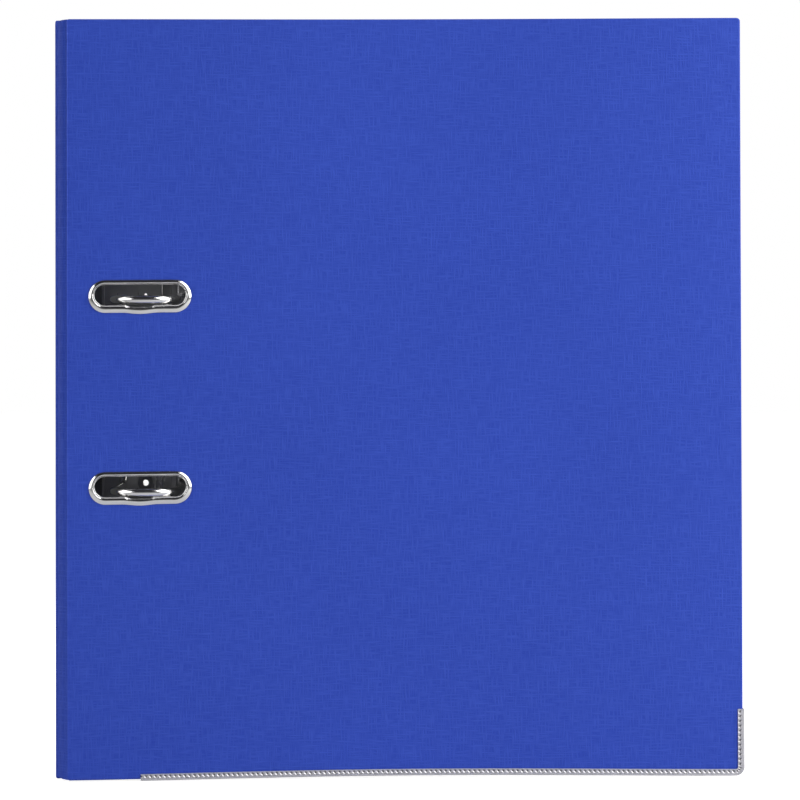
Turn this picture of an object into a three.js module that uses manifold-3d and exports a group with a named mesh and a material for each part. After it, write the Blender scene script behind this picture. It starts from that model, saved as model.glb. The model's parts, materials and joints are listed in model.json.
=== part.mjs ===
// A lever arch file for A4 paper, standing upright on its bottom edges as it does on a shelf.
// Millimetres, +Z up. The origin is at the bottom centre. The spine faces -X, the front cover
// faces -Y, the back cover faces +Y, and the covers' free edges (the fore edge) point to +X.
import * as THREE from "three";
import { mergeVertices } from "three/addons/utils/BufferGeometryUtils.js";
import Module from "manifold-3d";

const wasm = await Module();
wasm.setup();

// ---------------------------------------------------------------- driving dimensions

const WIDTH = 286; // spine's outer face to the fore edge
const HEIGHT = 318;
const DEPTH = 75; // outer face of the front cover to outer face of the back cover, at the spine

const BOARD = 2.4; // greyboard wrapped in embossed foil
const BOARD_EDGE = 0.4; // rounding of a board's edges
const BOARD_FOOT = 0.6; // the boards start this far above the rails' undersides
const LINING = 0.3;
const LINING_MARGIN = 4;
const AIR = 0.1; // clearance between pieces that lie on each other
const HINGE_REACH = 3.5; // from a hinge line to the edge of the board beside it
const DROOP = THREE.MathUtils.degToRad(4); // the closed front cover sinks in towards the fore edge
const BOTTOM_CORNER = 3;
const TOP_CORNER = 1.5;

const FOIL = 0.6;
const FOIL_REACH = 3.35;

const RAIL_SHEET = 0.5;
const RAIL_FACE = 2.6;
const RAIL_START = 35.2; // from the spine's outer face
const RAIL_RISE = 28; // height of the rail's leg on the fore edge

const RING_SPACING = 80;
const MECHANISM_Z = 160.8;
const WIRE = 2; // radius of the arches, the posts and the arches' shaft
const SHAFT_X = 23.5;
const SHAFT_RISE = 5;
const POST_X = 49.5;
const POST_TOP = 56;
const POST_GAP = 0.3; // between a post and the arch that closes on it
const CRANK_REACH = 14;
const CRANK_HALF = 12;

const SLOT_X = 35.2;
const SLOT_LIFT = 1.5; // slots sit this far above the arches that come through them
const SLOT_OPENING = [37.6, 8.4];
const SLOT_COLLAR = [39.6, 10.4];
const SLOT_CUT = [40.2, 11];
const SLOT_FLANGE = [42.6, 13.9];
const FLANGE_DROP = 0.6; // the flange is wider below its opening than above
const SLOT_LINING_CUT = [45, 16];
const FLANGE_SHEET = 0.9;
const CLINCH_SHEET = 0.6;

const FINGER_Z = 70;
const FINGER_CUT = 14;
const POCKET = [54, 160];
const POCKET_Z = 205;
const POCKET_RIM = 1.5;
const POCKET_DEEP = 0.6;
const CARD = 0.3;

const PLATE = 1;
const PLATE_X = [14, 58];
const PLATE_HALF = 76;
const PLATE_LIP = 3;
const LEVER_X = [31, 41];
const LEVER_SHEET = 1.2;
const LEVER_TOP = 18.2;
const PIVOT_Z = -24;
const PIVOT_RISE = 11;
const PIVOT_PIN = 1.5;
const ROLLER = 4.6;
const ROLLER_Z = 2;
const ROLLER_RISE = 12.2;
const ROLLER_PIN = 1;
const TOOLING_HOLE = { x: 34.1, z: 41.5, radius: 0.6 }; // through the lever, where it was held in the press
const RUNNING = 0.06; // radial clearance of a shaft that turns in its hole
const BAR_X = [44, 56];
const BAR_HALF = 62;
const BAR_RISE = 3;
const BAR_SHEET = 1;
const BAR_DEEP = 2;
const GRIP_WIRE = 0.6;

const RIVETS = [
  { x: 32.8, z: 41.6 },
  { x: 32.8, z: -39.8 },
  { x: 50, z: 68 },
  { x: 50, z: -68 },
];
const RIVET_TUBE = 2.2;
const RIVET_BORE = 1.3;

const axisInset = BOARD / 2; // a hinge line runs in the middle of the boards' thickness
const hingeY = DEPTH / 2 - axisInset;
const hingeX = axisInset - WIDTH / 2;
const liningFace = DEPTH / 2 - BOARD - AIR - LINING; // y of the back lining's inner face
const coverEnd = WIDTH - axisInset - RAIL_SHEET - AIR; // from a hinge line to a cover's free edge
const slotHeights = [RING_SPACING / 2, -RING_SPACING / 2].map((z) => MECHANISM_Z + z + SLOT_LIFT);

// ---------------------------------------------------------------- materials

const foilBlue = new THREE.MeshStandardMaterial({ color: 0x334a9f, roughness: 0.55, metalness: 0 });
const liningGrey = new THREE.MeshStandardMaterial({ color: 0x979899, roughness: 0.9, metalness: 0 });
const railSteel = new THREE.MeshStandardMaterial({ color: 0xb4b6ba, roughness: 0.35, metalness: 1 });
const nickel = new THREE.MeshStandardMaterial({ color: 0xc9cacc, roughness: 0.18, metalness: 1 });
const springSteel = new THREE.MeshStandardMaterial({ color: 0x9b9da1, roughness: 0.3, metalness: 1 });
const rollerBlack = new THREE.MeshStandardMaterial({ color: 0x232427, roughness: 0.45, metalness: 0 });
const clearFilm = new THREE.MeshStandardMaterial({ color: 0xe6ecf2, roughness: 0.1, metalness: 0 });
const cardWhite = new THREE.MeshStandardMaterial({ color: 0xf2f2ef, roughness: 0.85, metalness: 0 });

// ---------------------------------------------------------------- solids and booleans

// The closed solid of a geometry, ready to be joined or cut.
function solid(geometry) {
  const bare = geometry.clone();
  bare.deleteAttribute("normal");
  bare.deleteAttribute("uv");
  const merged = mergeVertices(bare, 1e-4);
  return new wasm.Manifold(
    new wasm.Mesh({
      numProp: 3,
      vertProperties: new Float32Array(merged.attributes.position.array),
      triVerts: new Uint32Array(merged.index.array),
    }),
  );
}

function geometryOf(body) {
  const mesh = body.getMesh();
  const geometry = new THREE.BufferGeometry();
  geometry.setAttribute("position", new THREE.BufferAttribute(mesh.vertProperties, 3));
  geometry.setIndex(new THREE.BufferAttribute(mesh.triVerts, 1));
  geometry.computeVertexNormals();
  return geometry;
}

function join(...geometries) {
  const body = geometries.map(solid).reduce((whole, piece) => whole.add(piece));
  return geometryOf(body);
}

function cut(geometry, ...cutters) {
  const body = cutters.map(solid).reduce((whole, piece) => whole.subtract(piece), solid(geometry));
  return geometryOf(body);
}

function common(geometry, other) {
  return geometryOf(solid(geometry).intersect(solid(other)));
}

// ---------------------------------------------------------------- shapes

// An outline through points; a point's third number rounds its corner.
function outline(points) {
  const shape = new THREE.Shape();
  points.forEach(([x, y, radius = 0], index) => {
    const corner = new THREE.Vector2(x, y);
    const before = new THREE.Vector2(...points.at(index - 1));
    const after = new THREE.Vector2(...points[(index + 1) % points.length]);
    const start = corner.clone().add(before.sub(corner).setLength(radius));
    const end = corner.clone().add(after.sub(corner).setLength(radius));
    if (index === 0) shape.moveTo(start.x, start.y);
    else shape.lineTo(start.x, start.y);
    if (radius > 0) shape.quadraticCurveTo(x, y, end.x, end.y);
  });
  shape.closePath();
  return shape;
}

function rectangle(left, right, low, high, radius = 0) {
  return outline([
    [left, low, radius],
    [right, low, radius],
    [right, high, radius],
    [left, high, radius],
  ]);
}

// A slot's outline: two straight sides and two half circles.
function stadium(x, z, [length, width]) {
  const radius = width / 2;
  const half = length / 2 - radius;
  const shape = new THREE.Shape();
  shape.moveTo(x - half, z - radius);
  shape.lineTo(x + half, z - radius);
  shape.absarc(x + half, z, radius, -Math.PI / 2, Math.PI / 2, false);
  shape.lineTo(x - half, z + radius);
  shape.absarc(x - half, z, radius, Math.PI / 2, (3 * Math.PI) / 2, false);
  return shape;
}

function disc(x, y, radius) {
  const shape = new THREE.Shape();
  shape.absarc(x, y, radius, 0, 2 * Math.PI, false);
  return shape;
}

// An upright slab from an outline in X and Z, with its inner face at y = 0 and its outer face
// at y = -thickness.
function slab(shape, thickness, edge = 0) {
  const geometry = new THREE.ExtrudeGeometry(shape, {
    depth: thickness - 2 * edge,
    bevelEnabled: edge > 0,
    bevelThickness: edge,
    bevelSize: edge,
    bevelOffset: -edge,
    bevelSegments: 1,
    curveSegments: 8,
  });
  return geometry.translate(0, 0, edge).rotateX(Math.PI / 2);
}

// A bar whose section, in X and rise above the lining, runs between two heights.
function barAlongZ(points, low, high) {
  const section = outline(points.map(([x, rise, radius]) => [x, -rise, radius]));
  const settings = { depth: high - low, bevelEnabled: false, curveSegments: 6 };
  return new THREE.ExtrudeGeometry(section, settings).translate(0, 0, low);
}

// A plate whose outline, in Z and rise above the lining, runs between two distances from the spine.
function barAlongX(shape, left, right) {
  const settings = { depth: right - left, bevelEnabled: false, curveSegments: 6 };
  const geometry = new THREE.ExtrudeGeometry(shape, settings);
  // The outline's first axis turns to +Z, its second to -Y and its depth to -X.
  const turn = new THREE.Matrix4().makeBasis(
    new THREE.Vector3(0, 0, 1),
    new THREE.Vector3(0, -1, 0),
    new THREE.Vector3(1, 0, 0),
  );
  return geometry.applyMatrix4(turn).translate(left, 0, 0);
}

// A turned piece that rises from the lining; its profile is in radius and rise.
function turned(profile, x, z, segments = 16) {
  const points = profile.map(([radius, rise]) => new THREE.Vector2(radius, rise));
  return new THREE.LatheGeometry(points, segments).rotateX(Math.PI).translate(x, 0, z);
}

function turnedAlongX(profile, rise, z, segments = 16) {
  const points = profile.map(([radius, x]) => new THREE.Vector2(radius, x));
  return new THREE.LatheGeometry(points, segments).rotateZ(-Math.PI / 2).translate(0, -rise, z);
}

function rod(radius, low, high) {
  return [[0, low], [radius, low], [radius, high], [0, high]];
}

// A hole's cutter stands a little wide, so that its facets clear a shaft by the stated radius.
function wide(radius, segments = 16) {
  return radius / Math.cos(Math.PI / segments);
}

// ---------------------------------------------------------------- bent wire

// A wire through points, with a sweep station at each point.
class BentWire extends THREE.Curve {
  constructor(points) {
    super();
    this.points = points;
  }

  getPoint(t) {
    const place = t * (this.points.length - 1);
    const index = Math.min(Math.floor(place), this.points.length - 2);
    return this.points[index].clone().lerp(this.points[index + 1], place - index);
  }

  getPointAt(u) {
    return this.getPoint(u);
  }

  getTangentAt(u) {
    const last = this.points.length - 1;
    const index = Math.round(u * last);
    const here = this.points[index];
    const arriving = here.clone().sub(this.points[Math.max(index - 1, 0)]).normalize();
    const leaving = this.points[Math.min(index + 1, last)].clone().sub(here).normalize();
    return arriving.add(leaving).normalize();
  }
}

function wire(points, radius, sides = 10) {
  const section = new THREE.Shape();
  const corner = (side) => [
    radius * Math.cos((2 * Math.PI * side) / sides),
    radius * Math.sin((2 * Math.PI * side) / sides),
  ];
  section.moveTo(...corner(0));
  for (let side = 1; side < sides; side += 1) section.lineTo(...corner(side));
  section.closePath();
  const extrudePath = new BentWire(points);
  return new THREE.ExtrudeGeometry(section, { steps: points.length - 1, extrudePath, curveSegments: 1 });
}

// The points of a wire through corners given as distance from the spine, rise and height, with
// each inner corner bent round.
function bentPoints(corners, bend, steps = 5) {
  const places = corners.map(([x, rise, z]) => new THREE.Vector3(x, -rise, z));
  const points = [places[0]];
  for (let index = 1; index < places.length - 1; index += 1) {
    const corner = places[index];
    const start = corner.clone().add(places[index - 1].clone().sub(corner).setLength(bend));
    const end = corner.clone().add(places[index + 1].clone().sub(corner).setLength(bend));
    const curve = new THREE.QuadraticBezierCurve3(start, corner, end);
    points.push(...curve.getPoints(steps));
  }
  points.push(places.at(-1));
  return points;
}

// ---------------------------------------------------------------- the object as a scene graph

const file = new THREE.Group();

function add(group, name, geometry, material) {
  const mesh = new THREE.Mesh(geometry, material);
  mesh.name = name;
  group.add(mesh);
  return mesh;
}

// A cover's own frame: x from its hinge line, z up, y = 0 in the middle of its board.
function coverGroup(y, turn) {
  const group = new THREE.Group();
  group.position.set(hingeX, y, 0);
  group.rotation.z = turn;
  file.add(group);
  return group;
}

// ---------------------------------------------------------------- cover boards and linings

function coverOutline() {
  return outline([
    [HINGE_REACH, BOARD_FOOT, 1],
    [coverEnd, BOARD_FOOT, BOTTOM_CORNER],
    [coverEnd, HEIGHT, TOP_CORNER],
    [HINGE_REACH, HEIGHT, 1],
  ]);
}

function coverLiningOutline() {
  const low = BOARD_FOOT + LINING_MARGIN;
  return rectangle(HINGE_REACH + LINING_MARGIN, coverEnd - LINING_MARGIN, low, HEIGHT - LINING_MARGIN, 1);
}

function slotCutters(size) {
  return slotHeights.map((z) => slab(stadium(SLOT_X - axisInset, z, size), 20).translate(0, 10, 0));
}

function rivetCutters(radius) {
  return RIVETS.map(({ x, z }) =>
    slab(disc(x - axisInset, MECHANISM_Z + z, radius), 20).translate(0, 10, 0),
  );
}

function addFrontCover() {
  const group = coverGroup(-hingeY, DROOP);
  const board = slab(coverOutline(), BOARD, BOARD_EDGE).translate(0, BOARD / 2, 0);
  add(group, "front_cover_panel", cut(board, ...slotCutters(SLOT_CUT)), foilBlue);
  const lining = slab(coverLiningOutline(), LINING).translate(0, BOARD / 2 + AIR + LINING, 0);
  add(group, "front_cover_lining", cut(lining, ...slotCutters(SLOT_LINING_CUT)), liningGrey);
  add(group, "front_edge_rail", edgeRail(), railSteel);
  add(group, "slot_eyelet_upper", slotEyelet(slotHeights[0]), nickel);
  add(group, "slot_eyelet_lower", slotEyelet(slotHeights[1]), nickel);
}

function addBackCover() {
  const group = coverGroup(hingeY, 0);
  const board = slab(coverOutline(), BOARD, BOARD_EDGE).translate(0, BOARD / 2, 0);
  add(group, "back_cover_panel", cut(board, ...rivetCutters(RIVET_TUBE + AIR)), foilBlue);
  const lining = slab(coverLiningOutline(), LINING).translate(0, -BOARD / 2 - AIR, 0);
  add(group, "back_cover_lining", cut(lining, ...rivetCutters(RIVET_TUBE + AIR)), liningGrey);
  add(group, "back_edge_rail", edgeRail(), railSteel);
}

// A folded steel channel that guards a cover's bottom edge and the corner at the fore edge.
function edgeRail() {
  const left = RAIL_START - axisInset;
  const right = coverEnd + AIR + RAIL_SHEET;
  const shape = outline([
    [left, 0],
    [right, 0, BOTTOM_CORNER + AIR + RAIL_SHEET],
    [right, RAIL_RISE],
    [right - RAIL_FACE, RAIL_RISE],
    [right - RAIL_FACE, RAIL_FACE, 1],
    [left, RAIL_FACE],
  ]);
  const thickness = BOARD + 2 * (AIR + RAIL_SHEET);
  const folded = slab(shape, thickness, RAIL_SHEET * 0.6).translate(0, thickness / 2, 0);
  const room = outline([
    [0, BOARD_FOOT - AIR],
    [coverEnd + AIR, BOARD_FOOT - AIR, BOTTOM_CORNER],
    [coverEnd + AIR, HEIGHT],
    [0, HEIGHT],
  ]);
  const inside = BOARD + 2 * AIR;
  return cut(folded, slab(room, inside).translate(0, inside / 2, 0));
}

// A slot eyelet: a flange on the cover, a collar through the board and a clinched edge inside.
function slotEyelet(z) {
  const x = SLOT_X - axisInset;
  const outerFace = -BOARD / 2 - AIR;
  const innerFace = BOARD / 2 + AIR;
  const clinch = [SLOT_FLANGE[0] - 0.6, SLOT_FLANGE[1] - 0.6];
  const whole = join(
    slab(stadium(x, z - FLANGE_DROP, SLOT_FLANGE), FLANGE_SHEET, 0.3).translate(0, outerFace, 0),
    slab(stadium(x, z, SLOT_COLLAR), BOARD + 4 * AIR).translate(0, innerFace + AIR, 0),
    slab(stadium(x, z, clinch), CLINCH_SHEET, 0.2).translate(0, innerFace + CLINCH_SHEET, 0),
  );
  return cut(whole, slab(stadium(x, z, SLOT_OPENING), 20).translate(0, 10, 0));
}

// ---------------------------------------------------------------- spine

// The spine's own frame: x from back to front, y = 0 on its inner face and -BOARD on its outer.
function addSpine() {
  const group = new THREE.Group();
  group.position.x = BOARD - WIDTH / 2;
  group.rotation.z = -Math.PI / 2;
  file.add(group);

  const half = hingeY - HINGE_REACH;
  const low = BOARD_FOOT + 0.2;
  const high = HEIGHT - 0.8;
  const cutter = slab(disc(0, FINGER_Z, FINGER_CUT), 20).translate(0, 10, 0);
  const board = slab(rectangle(-half, half, low, high, 2), BOARD, BOARD_EDGE);
  add(group, "spine_panel", cut(board, cutter), foilBlue);

  const sheet = rectangle(-half + 2, half - 2, low + LINING_MARGIN, high - LINING_MARGIN, 1);
  const wideCutter = slab(disc(0, FINGER_Z, FINGER_CUT + 2.5), 20).translate(0, 10, 0);
  const lining = cut(slab(sheet, LINING).translate(0, AIR + LINING, 0), wideCutter);
  add(group, "spine_lining", lining, liningGrey);

  add(group, "finger_ring", fingerRing(), nickel);
  addLabel(group);
}

// A pressed steel ring that edges the finger hole on both sides of the spine.
function fingerRing() {
  const outside = BOARD + AIR;
  const profile = [
    [12, -AIR - 0.2],
    [13.4, -AIR - 0.8],
    [15.6, -AIR - 0.6],
    [15.8, -AIR],
    [13.7, -AIR],
    [13.7, outside],
    [15.8, outside],
    [15.6, outside + 0.6],
    [13.4, outside + 0.8],
    [12, outside + 0.2],
    [12, -AIR - 0.2],
  ];
  return turned(profile, 0, FINGER_Z, 28);
}

// A clear pocket welded to the spine on three sides, open at the top, with a blank card in it.
function addLabel(group) {
  const half = POCKET[0] / 2;
  const low = POCKET_Z - POCKET[1] / 2;
  const high = POCKET_Z + POCKET[1] / 2;
  const back = -BOARD - AIR / 2;
  const film = slab(rectangle(-half, half, low, high, 2), POCKET_DEEP).translate(0, back, 0);
  const roomHalf = half - POCKET_RIM;
  const room = rectangle(-roomHalf, roomHalf, low + POCKET_RIM, high + 10);
  const cavity = slab(room, CARD + AIR + 10).translate(0, back + 10, 0);
  add(group, "label_pocket", cut(film, cavity), clearFilm);

  const cardHalf = roomHalf - 0.5;
  const card = rectangle(-cardHalf, cardHalf, low + POCKET_RIM + 0.5, high - 1, 1);
  add(group, "label_card", slab(card, CARD).translate(0, back - AIR / 2, 0), cardWhite);
}

// ---------------------------------------------------------------- hinge foils

// The strips of foil that bridge the boards run slantwise inside each hinge.
function addHingeFoil(name, y, turn) {
  const low = BOARD_FOOT + 0.6;
  const height = HEIGHT - 1.4 - low;
  const offset = HINGE_REACH * 0.6;
  const half = Math.sqrt(FOIL_REACH ** 2 - (offset + FOIL / 2) ** 2);
  const strip = new THREE.BoxGeometry(2 * half, FOIL, height, 1, 1, 1);
  strip.translate(0, offset, low + height / 2).rotateZ(turn);
  const mesh = add(file, name, strip, foilBlue);
  mesh.position.set(hingeX, y, 0);
}

// ---------------------------------------------------------------- lever mechanism

// The mechanism's own frame: x from the spine's outer face, rise from the back lining to -Y, and
// z from the middle between the rings.
const mechanism = new THREE.Group();
mechanism.position.set(-WIDTH / 2, liningFace, MECHANISM_Z);
file.add(mechanism);

function bearing(z) {
  const ear = [
    [SHAFT_X - 4, PLATE / 2],
    [SHAFT_X + 4, PLATE / 2],
    [SHAFT_X + 4, SHAFT_RISE + 4, 3.5],
    [SHAFT_X - 4, SHAFT_RISE + 4, 3.5],
  ];
  return barAlongZ(ear, z - 0.8, z + 0.8);
}

function leverEar(left, right) {
  const ear = outline([
    [PIVOT_Z - 6, PLATE / 2],
    [PIVOT_Z + 6, PLATE / 2],
    [PIVOT_Z + 5, PIVOT_RISE + 5, 4],
    [PIVOT_Z - 5, PIVOT_RISE + 5, 4],
  ]);
  return barAlongX(ear, left, right);
}

// A cutter along the rise, for a hole through the plate, the compressor bar or the lever.
function drill(radius, x, z) {
  return turned(rod(wide(radius), -10, 30), x, z);
}

function addBasePlate() {
  const [left, right] = PLATE_X;
  const sheet = barAlongZ(
    [
      [left, AIR],
      [right, AIR],
      [right, PLATE_LIP],
      [right - PLATE, PLATE_LIP],
      [right - PLATE, AIR + PLATE],
      [left + PLATE, AIR + PLATE],
      [left + PLATE, PLATE_LIP],
      [left, PLATE_LIP],
    ],
    -PLATE_HALF,
    PLATE_HALF,
  );
  const round = slab(rectangle(left, right, -PLATE_HALF, PLATE_HALF, 7), 20);
  const bearings = [-34, -19, 19, 34].map(bearing);
  const [leverLeft, leverRight] = LEVER_X;
  const ears = [
    leverEar(leverLeft - 1.8, leverLeft - 0.6),
    leverEar(leverRight + 0.6, leverRight + 1.8),
  ];
  const shaftHole = new THREE.CylinderGeometry(1, 1, 100, 16)
    .scale(wide(WIRE + RUNNING), 1, wide(WIRE + RUNNING))
    .rotateX(Math.PI / 2)
    .translate(SHAFT_X, -SHAFT_RISE, 0);
  const pinHole = turnedAlongX(rod(wide(PIVOT_PIN + RUNNING), 0, 60), PIVOT_RISE, PIVOT_Z);
  const rivetHoles = RIVETS.map(({ x, z }) => drill(RIVET_TUBE + AIR, x, z));
  const postHoles = [1, -1].map((side) => drill(1.7, POST_X, (side * RING_SPACING) / 2));
  const blank = join(common(sheet, round), ...bearings, ...ears);
  const plate = cut(blank, shaftHole, pinHole, ...rivetHoles, ...postHoles);
  add(mechanism, "base_plate", plate, nickel);
}

// A post stands on a shouldered foot, and has a socket with a notch that lets the arch swing out.
function addPost(name, z) {
  const profile = [
    [0, AIR + 0.1],
    [1.6, AIR + 0.1],
    [1.6, AIR + PLATE + 0.05],
    [3.4, AIR + PLATE + 0.05],
    [3.4, 2.4],
    [WIRE, 3.4],
    [WIRE, POST_TOP - 0.3],
    [WIRE - 0.3, POST_TOP],
    [0, POST_TOP],
  ];
  const depth = 1.6;
  const socket = turned(rod(1.5, POST_TOP - depth, POST_TOP + 1), POST_X, z);
  const notch = new THREE.BoxGeometry(4, depth + 1, 3);
  notch.translate(POST_X - 2, -(POST_TOP - depth + (depth + 1) / 2), z);
  add(mechanism, name, cut(turned(profile, POST_X, z), socket, notch), nickel);
}

// Half a circle from the top of an arch's leg, over to its post.
function archPoints(z) {
  const radius = (POST_X - SHAFT_X) / 2;
  const centre = POST_TOP + POST_GAP;
  const steps = 14;
  return Array.from({ length: steps + 1 }, (_, step) => {
    const angle = Math.PI * (1 - step / steps);
    const x = SHAFT_X + radius + radius * Math.cos(angle);
    return new THREE.Vector3(x, -(centre + radius * Math.sin(angle)), z);
  });
}

// Both arches, their shaft and the crank between them are one bent wire.
function addArchYoke() {
  const ring = RING_SPACING / 2;
  const crankX = SHAFT_X + CRANK_REACH;
  const middle = bentPoints(
    [
      [SHAFT_X, POST_TOP - 2, ring],
      [SHAFT_X, SHAFT_RISE, ring],
      [SHAFT_X, SHAFT_RISE, CRANK_HALF],
      [crankX, SHAFT_RISE, CRANK_HALF],
      [crankX, SHAFT_RISE, -CRANK_HALF],
      [SHAFT_X, SHAFT_RISE, -CRANK_HALF],
      [SHAFT_X, SHAFT_RISE, -ring],
      [SHAFT_X, POST_TOP - 2, -ring],
    ],
    4,
  );
  const points = [...archPoints(ring).reverse(), ...middle, ...archPoints(-ring)];
  const spigots = [ring, -ring].map((z) =>
    turned(rod(1.1, POST_TOP - 1.2, POST_TOP + 2), POST_X, z, 12),
  );
  add(mechanism, "arch_yoke", join(wire(points, WIRE), ...spigots), nickel);
}

// The lever is a channel of folded sheet, open towards the plate, with a rolled thumb end.
function addLever() {
  const [left, right] = LEVER_X;
  const webUnder = LEVER_TOP - LEVER_SHEET;
  const side = outline([
    [PIVOT_Z - 5, 8, 3],
    [20, 8, 8],
    [46, 12.4, 8],
    [68, 13.6, 1],
    [74, 16.2],
    [74, 17.4],
    [66, 16.4, 3],
    [48, LEVER_TOP, 6],
    [PIVOT_Z - 5, LEVER_TOP, 3],
  ]);
  const hollow = outline([
    [PIVOT_Z - 20, 0],
    [90, 0],
    [90, 15.2],
    [66, 15.2, 3],
    [48, webUnder, 6],
    [PIVOT_Z - 20, webUnder],
  ]);
  const thumb = turnedAlongX(rod(1.7, left, right), 17.2, 75, 14);
  const channel = cut(
    barAlongX(side, left, right),
    barAlongX(hollow, left + LEVER_SHEET, right - LEVER_SHEET),
    turnedAlongX(rod(wide(PIVOT_PIN + RUNNING), 0, 60), PIVOT_RISE, PIVOT_Z),
    turnedAlongX(rod(wide(ROLLER_PIN + RUNNING), 0, 60), ROLLER_RISE, ROLLER_Z),
    drill(TOOLING_HOLE.radius, TOOLING_HOLE.x, TOOLING_HOLE.z),
  );
  add(mechanism, "lever_arm", join(channel, thumb), nickel);
}

function headedPin(radius, left, right) {
  const head = radius + 0.9;
  return [
    [0, left],
    [head, left],
    [head, left + 0.7],
    [radius, left + 0.7],
    [radius, right - 0.7],
    [head, right - 0.7],
    [head, right],
    [0, right],
  ];
}

function addLeverPins() {
  const [left, right] = LEVER_X;
  const pivot = headedPin(PIVOT_PIN, left - 2.6, right + 2.6);
  add(mechanism, "lever_pivot_pin", turnedAlongX(pivot, PIVOT_RISE, PIVOT_Z), springSteel);
  const axle = headedPin(ROLLER_PIN, left - 0.8, right + 0.8);
  add(mechanism, "roller_pin", turnedAlongX(axle, ROLLER_RISE, ROLLER_Z), springSteel);
  const bore = wide(ROLLER_PIN + RUNNING);
  const roller = [
    [bore, left + 2.2],
    [ROLLER - 0.4, left + 2.2],
    [ROLLER, left + 2.6],
    [ROLLER, right - 2.6],
    [ROLLER - 0.4, right - 2.2],
    [bore, right - 2.2],
    [bore, left + 2.2],
  ];
  add(mechanism, "lever_roller", turnedAlongX(roller, ROLLER_RISE, ROLLER_Z), rollerBlack);
}

// A torsion spring wound round the shaft, with one arm on the plate and one towards the lever.
function addArchSpring() {
  const wireRadius = 0.5;
  const coil = 2.9;
  const turns = 4.5;
  const stepsPerTurn = 14;
  const pitch = 1.15;
  const bottom = 22;
  const steps = turns * stepsPerTurn;
  const points = [new THREE.Vector3(SHAFT_X + 6, -(SHAFT_RISE - coil), bottom)];
  for (let step = 0; step <= steps; step += 1) {
    const angle = (2 * Math.PI * step) / stepsPerTurn;
    const x = SHAFT_X - coil * Math.sin(angle);
    const rise = SHAFT_RISE - coil * Math.cos(angle);
    points.push(new THREE.Vector3(x, -rise, bottom + (pitch * step) / stepsPerTurn));
  }
  points.push(new THREE.Vector3(SHAFT_X + 6, -(SHAFT_RISE + coil), bottom + pitch * turns));
  add(mechanism, "arch_spring", wire(points, wireRadius, 6), springSteel);
}

function addCompressor() {
  const [left, right] = BAR_X;
  const top = BAR_RISE + BAR_DEEP;
  const section = barAlongZ(
    [
      [left, BAR_RISE],
      [left + BAR_SHEET, BAR_RISE],
      [left + BAR_SHEET, top - BAR_SHEET],
      [right - BAR_SHEET, top - BAR_SHEET],
      [right - BAR_SHEET, BAR_RISE],
      [right, BAR_RISE],
      [right, top, 0.6],
      [left, top, 0.6],
    ],
    -BAR_HALF,
    BAR_HALF,
  );
  const round = slab(rectangle(left, right, -BAR_HALF, BAR_HALF, 5), 20);
  const postHoles = [1, -1].map((side) => drill(WIRE + 0.4, POST_X, (side * RING_SPACING) / 2));
  const gripX = POST_X - WIRE - GRIP_WIRE - AIR;
  const gripHalf = 50;
  const gripHoles = [gripHalf, -gripHalf].map((z) => drill(GRIP_WIRE + 0.2, gripX, z));
  add(mechanism, "compressor_bar", cut(common(section, round), ...postHoles, ...gripHoles), nickel);

  const gripRise = top + GRIP_WIRE + AIR;
  const grip = bentPoints(
    [
      [gripX, BAR_RISE, gripHalf],
      [gripX, gripRise, gripHalf],
      [gripX, gripRise, -gripHalf],
      [gripX, BAR_RISE, -gripHalf],
    ],
    1,
    3,
  );
  add(mechanism, "compressor_spring", wire(grip, GRIP_WIRE, 8), springSteel);
}

// Hollow rivets hold the mechanism: a head outside the back cover, a clinched edge on the plate.
function addRivets() {
  const head = -BOARD - LINING - AIR - 0.05;
  const clinch = AIR + PLATE + 0.05;
  const profile = [
    [RIVET_BORE, head - 0.5],
    [1.9, head - 0.8],
    [4, head - 0.7],
    [4.5, head],
    [RIVET_TUBE, head],
    [RIVET_TUBE, clinch],
    [3.4, clinch],
    [3.2, clinch + 0.4],
    [1.9, clinch + 0.6],
    [RIVET_BORE, clinch + 0.3],
    [RIVET_BORE, head - 0.5],
  ];
  RIVETS.forEach(({ x, z }, index) => {
    add(mechanism, `mechanism_rivet_${index + 1}`, turned(profile, x, z, 14), springSteel);
  });
}

addBackCover();
addSpine();
addFrontCover();
addHingeFoil("back_hinge_foil", hingeY, (-3 * Math.PI) / 4);
addHingeFoil("front_hinge_foil", -hingeY, -Math.PI / 4);
addBasePlate();
addPost("post_upper", RING_SPACING / 2);
addPost("post_lower", -RING_SPACING / 2);
addArchYoke();
addLever();
addLeverPins();
addArchSpring();
addCompressor();
addRivets();

export default file;
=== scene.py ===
import json
import math

import bmesh
import bpy
from mathutils import Matrix, Vector


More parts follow.
